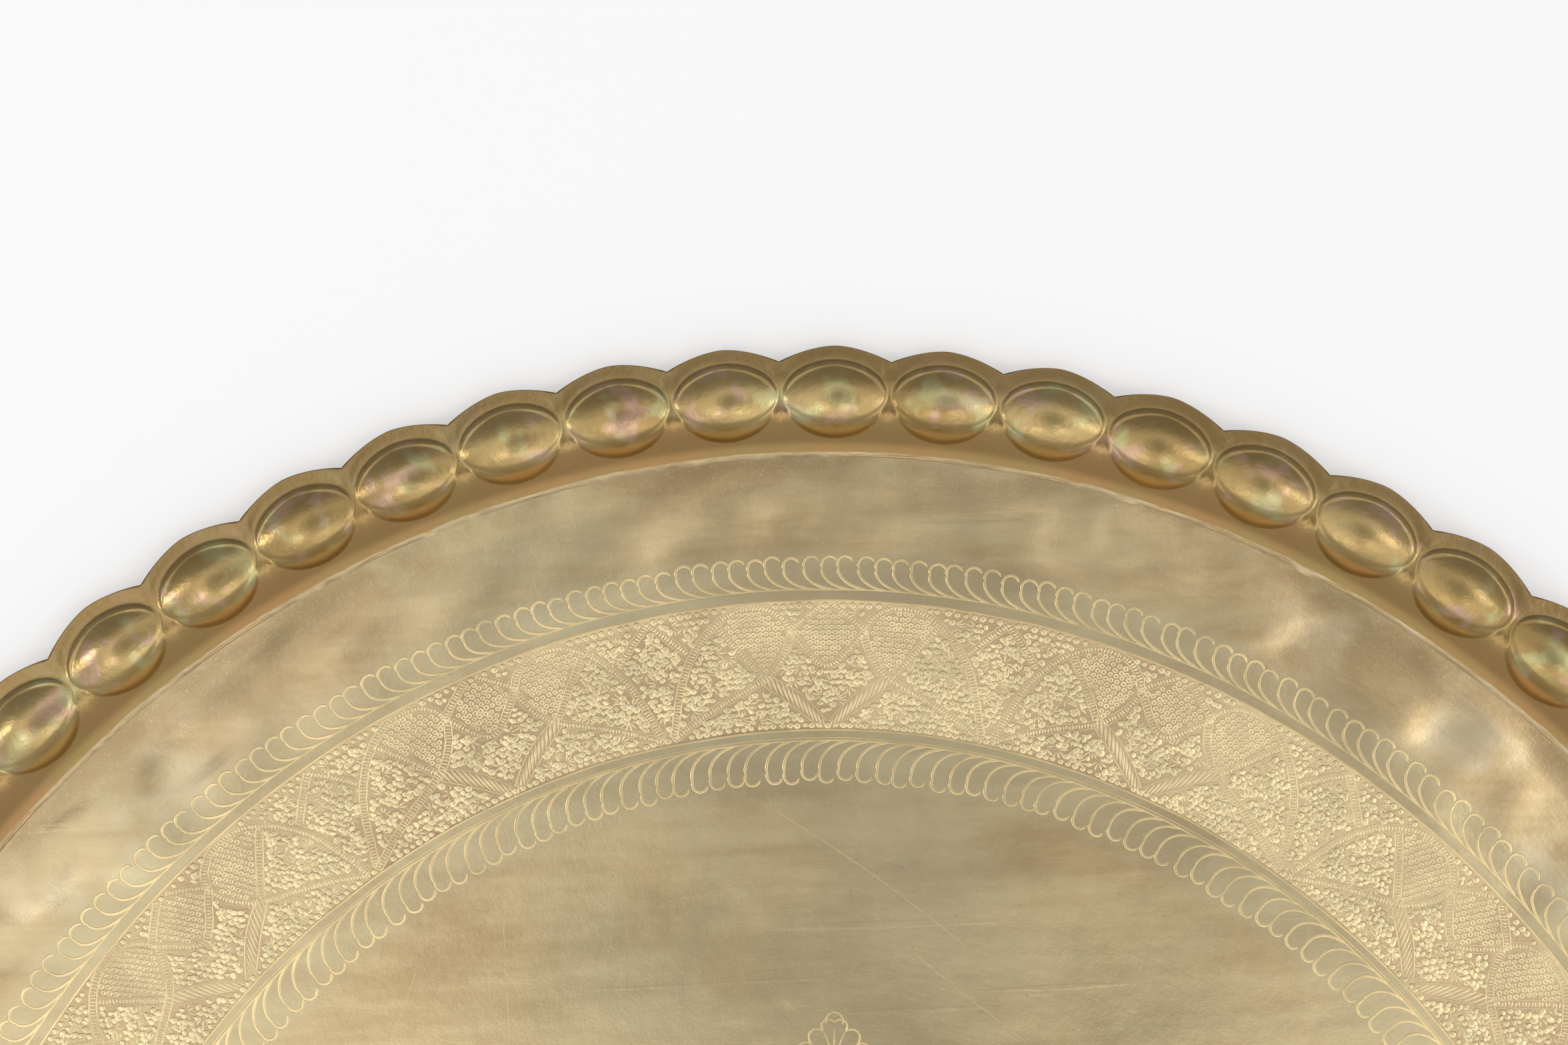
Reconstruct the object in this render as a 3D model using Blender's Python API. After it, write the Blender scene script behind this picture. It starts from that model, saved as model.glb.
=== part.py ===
"""Round brass tray: an engraved plate, a bossed rim soldered onto it, and the solder seam.

Metres, +Z up. The tray lies on its flat underside at z = 0, with its axis on the Z axis.
"""
import math

import bmesh
import bpy

# Driving dimensions
TRAY_DIAMETER = 0.700
BOSS_COUNT = 62
SHEET = 0.0010
GAP = 0.0003

TRAY_RADIUS = TRAY_DIAMETER / 2
NOTCH_DEPTH = 0.0048
NOTCH_POWER = 1.7
PLATE_RADIUS = 0.3200
PLATE_BEVEL = 0.0002

# The rim in plan, outwards from its foot
FOOT_INNER = 0.3160
FOOT_TAPER = 0.0006
WALL_FOOT = 0.3178
WALL_ANGLE = math.radians(46)
BULGE_CENTRE = 0.3344
BULGE_REACH = 0.0128
BULGE_HALF_LENGTH = 0.0177
DOME_CENTRE = 0.3342
DOME_HALF_WIDTH = 0.0100
DOME_HALF_LENGTH = 0.0160
SADDLE_SHARE = 0.28
GROOVE_OFFSET = 0.0024

# The rim's heights above the ground
FOOT_BASE = SHEET + GAP
FOOT_TOP = FOOT_BASE + SHEET
TERRACE_TOP = 0.0116
DOME_RISE = 0.0034
SADDLE_DIP = 0.0004
GROOVE_DEPTH = 0.0009
FLANGE_TOP = 0.0113
FLANK_LEAN = 0.26

# Facets
STEPS_PER_BOSS = 6
SOFT_ANGLE = math.radians(50)
PLATE_SEGMENTS = 124
SEAM_SEGMENTS = 124
SEAM_WIDTH = 0.0012
SEAM_HEIGHT = 0.0009

BRASS_PLATE = ((0.62, 0.52, 0.32), 0.34)
BRASS_RIM = ((0.60, 0.45, 0.22), 0.28)
SOLDER = ((0.66, 0.60, 0.47), 0.45)


def clear_scene():
    for item in list(bpy.data.objects):
        bpy.data.objects.remove(item)


def metal(name, look):
    colour, roughness = look
    material = bpy.data.materials.new(name)
    material.use_nodes = True
    shader = material.node_tree.nodes["Principled BSDF"]
    shader.inputs["Base Color"].default_value = (*colour, 1.0)
    shader.inputs["Roughness"].default_value = roughness
    shader.inputs["Metallic"].default_value = 1.0
    return material


def add_piece(name, mesh, material):
    mesh.materials.append(material)
    piece = bpy.data.objects.new(name, mesh)
    bpy.context.collection.objects.link(piece)
    return piece


def turned_ring(name, sections):
    """Join closed (radius, height) sections, spaced evenly round the Z axis, into one body."""
    mesh = bmesh.new()
    rings = []
    for index, section in enumerate(sections):
        angle = 2 * math.pi * index / len(sections)
        rings.append([mesh.verts.new((r * math.cos(angle), r * math.sin(angle), z))
                      for r, z in section])
    for index, ring in enumerate(rings):
        following = rings[(index + 1) % len(rings)]
        for k in range(len(ring)):
            nxt = (k + 1) % len(ring)
            mesh.faces.new((ring[k], following[k], following[nxt], ring[nxt]))
    bmesh.ops.recalc_face_normals(mesh, faces=mesh.faces)
    data = bpy.data.meshes.new(name)
    mesh.to_mesh(data)
    mesh.free()
    data.shade_smooth()
    data.set_sharp_from_angle(angle=SOFT_ANGLE)
    return data


def oval(offset, half_length):
    """Height of a unit half-ellipse at a distance along its long axis."""
    return math.sqrt(max(0.0, 1.0 - (offset / half_length) ** 2))


def edge_radius(phase):
    """Radius of the scalloped outer edge; phase 0 is a boss's middle, 0.5 the notch beside it."""
    return TRAY_RADIUS - NOTCH_DEPTH * abs(2 * phase) ** NOTCH_POWER


def wall_height(radius):
    return FOOT_TOP + (radius - WALL_FOOT) * math.tan(WALL_ANGLE)


def rim_surface(phase):
    """Upper outline of the rim at one phase of a boss, from its foot to its edge."""
    along = phase * 2 * math.pi * DOME_CENTRE / BOSS_COUNT
    crease = BULGE_CENTRE - BULGE_REACH * oval(along, BULGE_HALF_LENGTH)
    crease_top = min(wall_height(crease), TERRACE_TOP - SADDLE_DIP)
    crease = WALL_FOOT + (crease_top - FOOT_TOP) / math.tan(WALL_ANGLE)
    lip = crease + FLANK_LEAN * (TERRACE_TOP - crease_top) + SHEET / 2
    rise = oval(along, DOME_HALF_LENGTH)
    half = DOME_HALF_WIDTH * max(rise, SADDLE_SHARE)
    points = [(FOOT_INNER, FOOT_BASE + FOOT_TAPER), (WALL_FOOT, FOOT_TOP), (crease, crease_top),
              (lip, TERRACE_TOP - SADDLE_DIP * (1 - rise))]
    for share in (-0.78, 0.0, 0.78):
        swell = DOME_RISE * rise * oval(share, 1.0)
        points.append((DOME_CENTRE + share * half, TERRACE_TOP + swell - SADDLE_DIP * (1 - rise)))
    points.append((DOME_CENTRE + half + GROOVE_OFFSET, TERRACE_TOP - GROOVE_DEPTH))
    points.append((edge_radius(phase), FLANGE_TOP))
    return points


def underside(points, kept):
    """The same outline one sheet thickness lower, square to the surface, at the kept points."""
    lower = []
    for k in kept:
        before = points[max(k - 1, 0)]
        after = points[min(k + 1, len(points) - 1)]
        run = after[0] - before[0]
        rise = after[1] - before[1]
        length = math.hypot(run, rise)
        lower.append((points[k][0] + SHEET * rise / length, points[k][1] - SHEET * run / length))
    return lower


def rim_section(phase):
    """Closed outline of the rim's sheet: up the surface, back along the underside."""
    upper = rim_surface(phase)
    heel = (WALL_FOOT + SHEET / 2, FOOT_BASE)
    lower = [(FOOT_INNER, FOOT_BASE), heel] + underside(upper, (2, 3, 5, 7))
    lower.append((upper[-1][0], upper[-1][1] - SHEET))
    return upper + lower[::-1]


def make_rim():
    sections = []
    for boss in range(BOSS_COUNT):
        for step in range(STEPS_PER_BOSS):
            phase = step / STEPS_PER_BOSS
            sections.append(rim_section(phase if phase <= 0.5 else phase - 1.0))
    return turned_ring("bossed_rim", sections)


def make_plate():
    mesh = bmesh.new()
    bmesh.ops.create_cone(mesh, cap_ends=True, segments=PLATE_SEGMENTS, radius1=PLATE_RADIUS,
                          radius2=PLATE_RADIUS, depth=SHEET)
    bmesh.ops.translate(mesh, verts=mesh.verts, vec=(0, 0, SHEET / 2))
    rim_edges = [edge for edge in mesh.edges if abs(edge.verts[0].co.z - edge.verts[1].co.z) < 1e-6]
    bmesh.ops.bevel(mesh, geom=rim_edges, offset=PLATE_BEVEL, segments=1, affect="EDGES")
    data = bpy.data.meshes.new("engraved_plate")
    mesh.to_mesh(data)
    mesh.free()
    data.shade_smooth()
    data.set_sharp_from_angle(angle=SOFT_ANGLE)
    return data


def make_seam():
    """Bead of solder in the corner between the plate and the inner edge of the rim's foot."""
    outer = FOOT_INNER - GAP
    bottom = SHEET + GAP
    section = [(outer - SEAM_WIDTH, bottom), (outer, bottom + SEAM_HEIGHT), (outer, bottom)]
    return turned_ring("solder_seam", [section] * SEAM_SEGMENTS)


def main():
    clear_scene()
    add_piece("engraved_plate", make_plate(), metal("plate_brass", BRASS_PLATE))
    add_piece("bossed_rim", make_rim(), metal("rim_brass", BRASS_RIM))
    add_piece("solder_seam", make_seam(), metal("solder", SOLDER))


main()
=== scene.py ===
"""Looks of a large round brass tray: a bossed rim, an engraved plate and the solder seam between them.

Lengths are in millimetres, which Pieces.build turns into metres. The camera, the lights, the floor and
the materials' bump distances are in metres. The tray's axis is the Z axis.
"""
import math

import bpy
import numpy as np
from mathutils import Matrix, Vector


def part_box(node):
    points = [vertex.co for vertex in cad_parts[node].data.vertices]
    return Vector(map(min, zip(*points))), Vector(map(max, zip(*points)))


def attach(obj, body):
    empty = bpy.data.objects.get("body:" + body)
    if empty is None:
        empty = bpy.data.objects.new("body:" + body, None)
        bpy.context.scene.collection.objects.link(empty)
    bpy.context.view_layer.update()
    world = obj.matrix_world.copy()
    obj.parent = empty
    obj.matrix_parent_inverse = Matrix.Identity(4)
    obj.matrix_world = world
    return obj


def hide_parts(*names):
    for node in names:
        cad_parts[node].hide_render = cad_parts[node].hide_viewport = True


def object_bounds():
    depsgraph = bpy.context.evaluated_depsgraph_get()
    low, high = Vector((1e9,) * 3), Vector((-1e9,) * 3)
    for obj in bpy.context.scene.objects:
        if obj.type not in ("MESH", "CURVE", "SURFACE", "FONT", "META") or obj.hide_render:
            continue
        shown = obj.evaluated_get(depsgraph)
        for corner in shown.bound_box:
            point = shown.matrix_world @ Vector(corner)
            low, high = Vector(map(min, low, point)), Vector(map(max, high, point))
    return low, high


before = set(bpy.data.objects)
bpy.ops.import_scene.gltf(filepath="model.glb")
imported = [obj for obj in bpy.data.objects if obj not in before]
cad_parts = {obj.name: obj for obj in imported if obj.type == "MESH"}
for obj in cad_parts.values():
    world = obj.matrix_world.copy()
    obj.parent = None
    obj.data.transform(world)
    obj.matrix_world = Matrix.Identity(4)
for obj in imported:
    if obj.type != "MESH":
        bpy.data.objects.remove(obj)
CAD_LOW, CAD_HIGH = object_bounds()
RIM_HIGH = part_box("bossed_rim")[1]
PLATE_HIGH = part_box("engraved_plate")[1]

MM = 0.001
PLATE_TOP = PLATE_HIGH.z / MM
PLATE_RADIUS = 320.0
TRAY_RADIUS = RIM_HIGH.x / MM
SHEET = PLATE_TOP

# The rim, which follows the CAD rim, with domes a shade shorter
BOSS_COUNT = 62
BOSS_ANGLE = 2 * math.pi / BOSS_COUNT
NOTCH_DEPTH = 4.8
NOTCH_POWER = 1.7
FOOT_INNER = 316.0
FOOT_TOP = 2.3
WALL_FOOT = 317.8
WALL_SLOPE = math.tan(math.radians(46))
BULGE_CENTRE = 334.4
BULGE_REACH = 12.8
BULGE_HALF_LENGTH = 17.7
DOME_CENTRE = 334.2
DOME_HALF_WIDTH = 10.0
DOME_HALF_LENGTH = 15.9
TERRACE_TOP = 11.6
FLANGE_TOP = 11.3
DOME_CLEARANCE = 0.05
DOME_RISE = RIM_HIGH.z / MM - TERRACE_TOP - DOME_CLEARANCE

# The rim's soft shapes, which the CAD rim leaves out
COVE_LIFT = 0.05
COVE_WIDTH = 0.70
COVE_SHIFT = 0.8
SADDLE_DROP = 0.5
SADDLE_WIDTH = 3.4
BULGE_STEEPNESS = 1.45
BULGE_WIDTH = 5.0
LIP_WIDTH = 3.2
CROWN_POWER = 1.08
BEAD_HEIGHT = 0.46
BEAD_DEPTH = 0.40
BEAD_OUTER_WIDTH = 1.05
BEAD_INNER_WIDTH = 0.55
BEAD_FADE = 11
FLANGE_OFFSET = 2.0
FLANGE_WIDTH = 1.5
ROLL_DIP = 0.22
ROLL_WIDTH = 2.2
EDGE_INSET = 0.15
UNDER_EDGE_INSET = 0.1

# The solder, between the plate and the wall
SEAM_INNER = 316.6
SEAM_OUTER = 318.3
SEAM_THICKNESS = 0.12
SEAM_SINK = 0.04

# The plate's engraved circles and its sunk band
OUTER_SCROLL = 274.7
BAND_OUTER = 271.1
BAND_INNER = 231.6
INNER_SCROLL = 228.2
BAND_SINK = 0.16
GROUND = PLATE_TOP - BAND_SINK
CUT_DEPTH = 0.14

# How uneven the plate is: long swells all over it, and shorter dents in the shoulder
SWELL_LENGTH = 150
SWELL_HEIGHT = 0.30
DENT_LENGTH = 48
DENT_START = 272
DENT_FADE = 20
WALL_FADE = 8
LIFT_LIMIT = 0.78


# -------------------------------- small mesh kit

class Pieces:
    """Collects many small shapes, then makes one mesh object of them."""

    def __init__(self):
        self.verts = []
        self.faces = []
        self.count = 0

    def add(self, verts, faces):
        self.verts.append(np.asarray(verts, float))
        self.faces.extend((np.asarray(faces) + self.count).tolist())
        self.count += len(verts)

    def add_quads(self, grid):
        """Add a (rows, columns, 3) grid of points as a sheet of quads."""
        rows, columns = grid.shape[:2]
        index = np.arange(rows * columns).reshape(rows, columns)
        quads = np.stack([index[:-1, :-1], index[:-1, 1:], index[1:, 1:], index[1:, :-1]], -1)
        self.add(grid.reshape(-1, 3), quads.reshape(-1, 4))

    def stamp(self, template, places):
        """Add a copy of (verts, faces) at each row (x, y, turn, scale) of places, with its z kept."""
        verts, faces = template
        places = np.asarray(places, float).reshape(-1, 4)
        if not len(places):
            return
        cos = np.cos(places[:, 2])[:, None] * places[:, 3][:, None]
        sin = np.sin(places[:, 2])[:, None] * places[:, 3][:, None]
        x = places[:, 0][:, None] + cos * verts[:, 0] - sin * verts[:, 1]
        y = places[:, 1][:, None] + sin * verts[:, 0] + cos * verts[:, 1]
        z = np.broadcast_to(verts[:, 2], x.shape)
        start = self.count + np.arange(len(places)) * len(verts)
        for size in sorted(set(len(face) for face in faces)):
            some = np.array([face for face in faces if len(face) == size])
            self.faces.extend((start[:, None, None] + some[None]).reshape(-1, size).tolist())
        self.verts.append(np.stack([x, y, z], -1).reshape(-1, 3))
        self.count += x.size

    def build(self, name, material, lift=None):
        points = np.concatenate(self.verts)
        if lift is not None:
            points[:, 2] += lift(points[:, 0], points[:, 1])
        mesh = bpy.data.meshes.new(name)
        mesh.from_pydata((points * MM).tolist(), [], self.faces)
        mesh.validate()
        mesh.shade_smooth()
        mesh.materials.append(material)
        piece = bpy.data.objects.new(name, mesh)
        bpy.context.scene.collection.objects.link(piece)
        return piece


def finish_piece(piece, node):
    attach(piece, "root")
    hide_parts(node)


def finish_on_plate(pieces, name, material):
    """Make one piece of the plate or its ornament, which follows the plate's dents."""
    finish_piece(pieces.build(name, material, plate_lift), "engraved_plate")


def smooth_min(a, b, width):
    share = np.clip(0.5 + 0.5 * (b - a) / width, 0, 1)
    return b * (1 - share) + a * share - width * share * (1 - share)


def plan_at(radius, angle):
    """Plan points at a distance from the origin and an angle from the x axis."""
    return np.stack([radius * np.cos(angle), radius * np.sin(angle)], -1)


def grid_at(radius, angle, height):
    """The same with a height for each point."""
    return np.stack([radius * np.cos(angle), radius * np.sin(angle), height], -1)


def sheet_of(grid):
    """A sheet of rows of points that run round the axis; it faces up where they go outwards."""
    pieces = Pieces()
    pieces.add_quads(grid[:, ::-1])
    return pieces


def waves(x, y, seed, length, octaves=3):
    """Smooth seeded unevenness, about -1 to 1, with bumps about `length` millimetres across."""
    waves_per_octave, highest = 7, 4.5
    rng = np.random.default_rng(seed)
    total = np.zeros(np.broadcast(x, y).shape)
    for octave in range(octaves):
        for _ in range(waves_per_octave):
            turn = rng.uniform(0, 2 * math.pi)
            shift = rng.uniform(0, 2 * math.pi)
            rate = 2 * math.pi / length * 2 ** octave * rng.uniform(0.6, 1.4)
            swing = np.sin(rate * (x * math.cos(turn) + y * math.sin(turn)) + shift)
            total = total + swing * 0.5 ** octave
    return total / highest


# -------------------------------- materials

def socket(value):
    return value if isinstance(value, bpy.types.NodeSocket) else None


class Nodes:
    """Short names for building a node tree."""

    def __init__(self, name):
        self.material = bpy.data.materials.new(name)
        self.material.use_nodes = True
        self.tree = self.material.node_tree
        self.shader = self.tree.nodes["Principled BSDF"]
        self.place = self.tree.nodes.new("ShaderNodeTexCoord").outputs["Object"]

    def put(self, where, value):
        if socket(value) is None:
            where.default_value = value
        else:
            self.tree.links.new(value, where)

    def maths(self, operation, a, b=0.0, clamp=False):
        node = self.tree.nodes.new("ShaderNodeMath")
        node.operation = operation
        node.use_clamp = clamp
        self.put(node.inputs[0], a)
        self.put(node.inputs[1], b)
        return node.outputs[0]

    def times(self, a, b):
        return self.maths("MULTIPLY", a, b)

    def plus(self, a, b, clamp=False):
        return self.maths("ADD", a, b, clamp)

    def noise(self, scale, detail=4.0, stretch=(1, 1, 1), turn=0.0, rough=0.55, where=None):
        mapping = self.tree.nodes.new("ShaderNodeMapping")
        mapping.inputs["Scale"].default_value = stretch
        mapping.inputs["Rotation"].default_value = (0, 0, turn)
        self.tree.links.new(where or self.place, mapping.inputs["Vector"])
        node = self.tree.nodes.new("ShaderNodeTexNoise")
        node.inputs["Scale"].default_value = scale
        node.inputs["Detail"].default_value = detail
        node.inputs["Roughness"].default_value = rough
        self.tree.links.new(mapping.outputs["Vector"], node.inputs["Vector"])
        return node.outputs["Fac"]

    def ramp(self, value, zero, one):
        """0 on the far side of `zero`, 1 on the far side of `one`, smooth between."""
        node = self.tree.nodes.new("ShaderNodeMapRange")
        node.interpolation_type = "SMOOTHSTEP"
        self.put(node.inputs["Value"], value)
        node.inputs["From Min"].default_value = min(zero, one)
        node.inputs["From Max"].default_value = max(zero, one)
        node.inputs["To Min"].default_value = 0.0 if zero < one else 1.0
        node.inputs["To Max"].default_value = 1.0 if zero < one else 0.0
        return node.outputs["Result"]

    def blend(self, share, first, second):
        node = self.tree.nodes.new("ShaderNodeMix")
        node.data_type = "RGBA"
        self.put(node.inputs[0], share)
        for where, value in ((node.inputs[6], first), (node.inputs[7], second)):
            self.put(where, value if socket(value) else (*value, 1.0))
        return node.outputs[2]

    def wash(self, colour, tint, mask, strength):
        """The colour, with as much of the tint over it as the mask and the strength allow."""
        return self.blend(self.times(mask, strength), colour, tint)

    def parts(self):
        node = self.tree.nodes.new("ShaderNodeSeparateXYZ")
        self.tree.links.new(self.place, node.inputs[0])
        return node.outputs

    def radius(self):
        x, y = self.parts()[:2]
        return self.maths("SQRT", self.plus(self.times(x, x), self.times(y, y)))

    def beyond(self, zero, one):
        """0 to 1 between two distances from the axis, in millimetres."""
        return self.ramp(self.radius(), zero * MM, one * MM)

    def between(self, start, full, last, end):
        """1 from `full` to `last` in distance from the axis, 0 before `start` and after `end`."""
        return self.times(self.beyond(start, full), self.beyond(end, last))

    def above(self, zero, one):
        """0 to 1 between two heights, in millimetres."""
        return self.ramp(self.parts()[2], zero * MM, one * MM)

    def turned(self):
        """Coordinates wrapped round the tray's axis: angle, radius and height."""
        x, y, z = self.parts()
        angle = self.maths("ARCTAN2", y, x)
        node = self.tree.nodes.new("ShaderNodeCombineXYZ")
        self.put(node.inputs[0], angle)
        self.put(node.inputs[1], self.radius())
        self.put(node.inputs[2], z)
        return node.outputs[0]

    def bump(self, height, strength, distance, normal=None):
        node = self.tree.nodes.new("ShaderNodeBump")
        node.inputs["Strength"].default_value = strength
        node.inputs["Distance"].default_value = distance
        self.put(node.inputs["Height"], height)
        if normal is not None:
            self.put(node.inputs["Normal"], normal)
        return node.outputs["Normal"]

    def done(self, colour, roughness, normal=None, metallic=1.0):
        self.put(self.shader.inputs["Base Color"], colour)
        self.put(self.shader.inputs["Roughness"], roughness)
        self.shader.inputs["Metallic"].default_value = metallic
        if normal is not None:
            self.put(self.shader.inputs["Normal"], normal)
        return self.material


def plate_stain(n):
    """Share of brown stain: broad clouds, streaks and fine brushed lines, drawn out along x."""
    clouds = n.ramp(n.noise(11.0, 6.0, stretch=(0.7, 1, 1), rough=0.62), 0.42, 0.62)
    streaks = n.ramp(n.noise(42.0, 6.0, stretch=(0.16, 1, 1), turn=0.25), 0.44, 0.62)
    brushed = n.ramp(n.noise(240.0, 4.0, stretch=(0.16, 1, 1), turn=0.12), 0.40, 0.66)
    stain = n.plus(n.times(clouds, 0.8), n.times(streaks, 0.60), clamp=True)
    return n.plus(stain, n.times(brushed, 0.30), clamp=True)


def plate_colour(n, grain):
    """Pale gold with brown and greenish stains, a browner edge, painted reflection in pale patches on
    the shoulder's two sides, specks and pits.
    """
    pale, brown, green = (0.74, 0.585, 0.325), (0.51, 0.355, 0.175), (0.56, 0.495, 0.30)
    colour = n.wash(pale, brown, plate_stain(n), 0.75)
    colour = n.wash(colour, green, n.ramp(n.noise(7.0, 4.0, turn=1.1), 0.44, 0.66), 0.55)
    edge = n.times(n.beyond(296, 316), n.ramp(n.noise(30.0, 5.0), 0.36, 0.60))
    colour = n.wash(colour, (0.42, 0.29, 0.145), edge, 0.6)
    # Painted reflection: pale patches on the shoulder, only towards its left and right sides, stand in
    # for the side lights' glare off the wavy sheet
    beside = n.ramp(n.maths("ABSOLUTE", n.parts()[0]), 100 * MM, 220 * MM)
    patches = n.ramp(n.noise(17.0, 3.0, turn=2.0), 0.50, 0.62)
    painted_sheen = n.times(patches, n.times(n.between(276, 288, 304, 314), beside))
    colour = n.wash(colour, (0.92, 0.80, 0.55), painted_sheen, 0.50)
    colour = n.wash(colour, (0.84, 0.74, 0.50), n.ramp(grain, 0.52, 0.72), 0.12)
    near_wall = n.plus(n.times(n.beyond(298, 312), 0.85), 0.15)
    specks = n.times(n.ramp(n.noise(1300.0, 2.0), 0.62, 0.72), near_wall)
    colour = n.wash(colour, (0.84, 0.74, 0.52), specks, 0.4)
    pits = n.ramp(n.noise(700.0, 1.0, turn=0.6), 0.75, 0.79)
    colour = n.wash(colour, (0.36, 0.25, 0.13), pits, 0.35)
    zones = n.plus(n.between(210, 219, 231.0, 232.5), n.between(270, 271.2, 283, 290))
    return n.wash(colour, (0.60, 0.56, 0.36), zones, 0.34)


def plate_brass():
    """Old polished brass, with wipe marks, fine scratches and a grain over its stains."""
    n = Nodes("plate_brass")
    grain = n.noise(520.0, 2.0, rough=0.8)
    round_marks = n.noise(1.0, 6.0, stretch=(14, 420, 1), where=n.turned())
    wipes = n.noise(60.0, 5.0, stretch=(0.12, 1, 1), turn=0.15)
    scratches = n.ramp(n.noise(160.0, 2.0, stretch=(0.04, 1, 1), turn=0.9), 0.66, 0.74)
    rough = n.plus(n.times(n.noise(26.0, 4.0), 0.16), 0.21)
    rough = n.plus(rough, n.times(wipes, 0.08))
    relief = n.plus(round_marks, n.times(scratches, 0.6))
    relief = n.plus(relief, n.times(wipes, 0.5))
    normal = n.bump(relief, 0.14, 0.0004)
    normal = n.bump(grain, 0.16, 0.0003, normal)
    normal = n.bump(n.noise(26.0, 3.0), 0.20, 0.0022, normal)
    return n.done(plate_colour(n, grain), rough, normal)


def line_brass(name, colour, rough):
    """Bright metal where a tool has cut or struck the plate."""
    n = Nodes(name)
    tone = n.ramp(n.noise(90.0, 3.0), 0.35, 0.7)
    shade = tuple(c * 0.80 for c in colour)
    fine = n.bump(n.noise(900.0, 3.0), 0.12, 0.0003)
    return n.done(n.blend(tone, colour, shade), rough, fine)


def band_brass():
    """The chased band's sunk ground: matt, with pinkish brown tarnish in it."""
    n = Nodes("band_brass")
    stain = n.ramp(n.noise(16.0, 4.0), 0.4, 0.62)
    colour = n.blend(stain, (0.78, 0.61, 0.345), (0.58, 0.415, 0.24))
    return n.done(colour, 0.45, n.bump(n.noise(700.0, 3.0), 0.5, 0.0005))


def boss_shade_masks(n):
    """Shares of the neck between two bulges, darkened as tarnish and painted shade, and of the crease
    along a bulge's foot, darkened as painted shade.
    """
    x, y = n.parts()[:2]
    turn = n.maths("DIVIDE", n.maths("ARCTAN2", y, x), BOSS_ANGLE)
    phase = n.maths("SUBTRACT", n.maths("FRACT", n.plus(turn, BOSS_COUNT + 0.5)), 0.5)
    along = n.times(phase, BOSS_ANGLE * BULGE_CENTRE / BULGE_HALF_LENGTH)
    across = n.maths("DIVIDE", n.maths("SUBTRACT", n.radius(), BULGE_CENTRE * MM), BULGE_REACH * MM)
    oval = n.plus(n.times(along, along), n.times(across, across))
    inner_side = n.beyond(333.0, 329.0)
    # Tarnish and painted shade: this share darkens the neck between two bulges
    neck_tarnish_and_shade = n.times(n.ramp(oval, 0.97, 1.05), n.times(inner_side, n.beyond(319.2, 321.5)))
    # Painted shade: this share darkens the steep flank along a bulge's foot
    crease = n.times(n.ramp(oval, 0.80, 0.93), n.ramp(oval, 1.04, 0.98))
    return neck_tarnish_and_shade, n.times(crease, inner_side)


def rim_brass():
    """Burnished golden brown brass, darker on the flange, with faint rainbow tarnish on the bosses."""
    n = Nodes("rim_brass")
    gold, deep, dark = (0.50, 0.36, 0.152), (0.405, 0.272, 0.102), (0.335, 0.222, 0.090)
    colour = n.blend(n.ramp(n.noise(22.0, 4.0), 0.38, 0.66), gold, deep)
    pink_film = n.ramp(n.noise(95.0, 2.0), 0.52, 0.66)
    colour = n.wash(colour, (0.70, 0.44, 0.36), pink_film, 0.45)
    green_film = n.ramp(n.noise(80.0, 2.0, turn=0.8), 0.52, 0.68)
    colour = n.wash(colour, (0.56, 0.57, 0.28), green_film, 0.55)
    warm = n.ramp(n.noise(34.0, 4.0, turn=0.4), 0.40, 0.62)
    wall = n.blend(warm, (0.72, 0.50, 0.195), (0.80, 0.47, 0.195))
    colour = n.wash(colour, wall, n.above(10.8, 9.0), 0.85)
    neck_tarnish_and_shade, crease = boss_shade_masks(n)
    # Tarnish and painted shade in the neck between bulges
    colour = n.wash(colour, (0.40, 0.255, 0.10), neck_tarnish_and_shade, 0.75)
    # Painted shade along each bulge's foot
    colour = n.wash(colour, (0.34, 0.215, 0.08), crease, 0.8)
    past_dome = n.times(n.above(11.75, 11.35), n.beyond(336.5, 339.5))
    outer = n.maths("MAXIMUM", n.beyond(344.0, 346.5), past_dome)
    colour = n.wash(colour, dark, outer, 0.8)
    marks = n.noise(1.0, 5.0, stretch=(30, 600, 300), where=n.turned())
    rough = n.plus(n.times(n.noise(45.0, 4.0), 0.16), 0.22)
    normal = n.bump(marks, 0.06, 0.0004)
    normal = n.bump(n.noise(120.0, 3.0), 0.11, 0.0010, normal)
    normal = n.bump(n.noise(480.0, 2.0), 0.16, 0.0004, normal)
    return n.done(colour, rough, normal)


def solder_metal():
    """Solder, paler and duller than the brass beside it."""
    n = Nodes("solder")
    tone = n.ramp(n.noise(55.0, 5.0), 0.38, 0.66)
    colour = n.blend(tone, (0.68, 0.535, 0.31), (0.54, 0.405, 0.215))
    return n.done(colour, 0.42, n.bump(n.noise(420.0, 4.0), 0.25, 0.0004))


# -------------------------------- the rim

def oval_depth(along, across, half_length, half_width):
    """Distance inside an oval, to first order."""
    share = np.sqrt((along / half_length) ** 2 + (across / half_width) ** 2)
    steep = np.sqrt((along / half_length ** 2) ** 2 + (across / half_width ** 2) ** 2)
    return (1 - share) * share / np.maximum(steep, 1e-6)


def lens_depth(along, across, half_length, half_width):
    """The same for an oval with more pointed ends, and the share of the way out to its edge."""
    soft, power = 0.06, 0.74
    u, v = along / half_length, across / half_width
    whole = (1 + soft) ** power - soft ** power
    long_part = ((u ** 2 + soft) ** power - soft ** power) / whole
    share = np.sqrt(long_part + v ** 2)
    slope_u = 2 * power * u * (u ** 2 + soft) ** (power - 1) / whole / half_length
    steep = np.hypot(slope_u, 2 * v / half_width) / 2
    return (1 - share) * share / np.maximum(steep, 1e-6), share


def outer_foot(along):
    """Radius of the dome's outer foot, which runs on as a shallow dip across the saddle."""
    rise = np.sqrt(np.clip(1 - (along / DOME_HALF_LENGTH) ** 2, 0.08, 1))
    return DOME_CENTRE + DOME_HALF_WIDTH * rise


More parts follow.
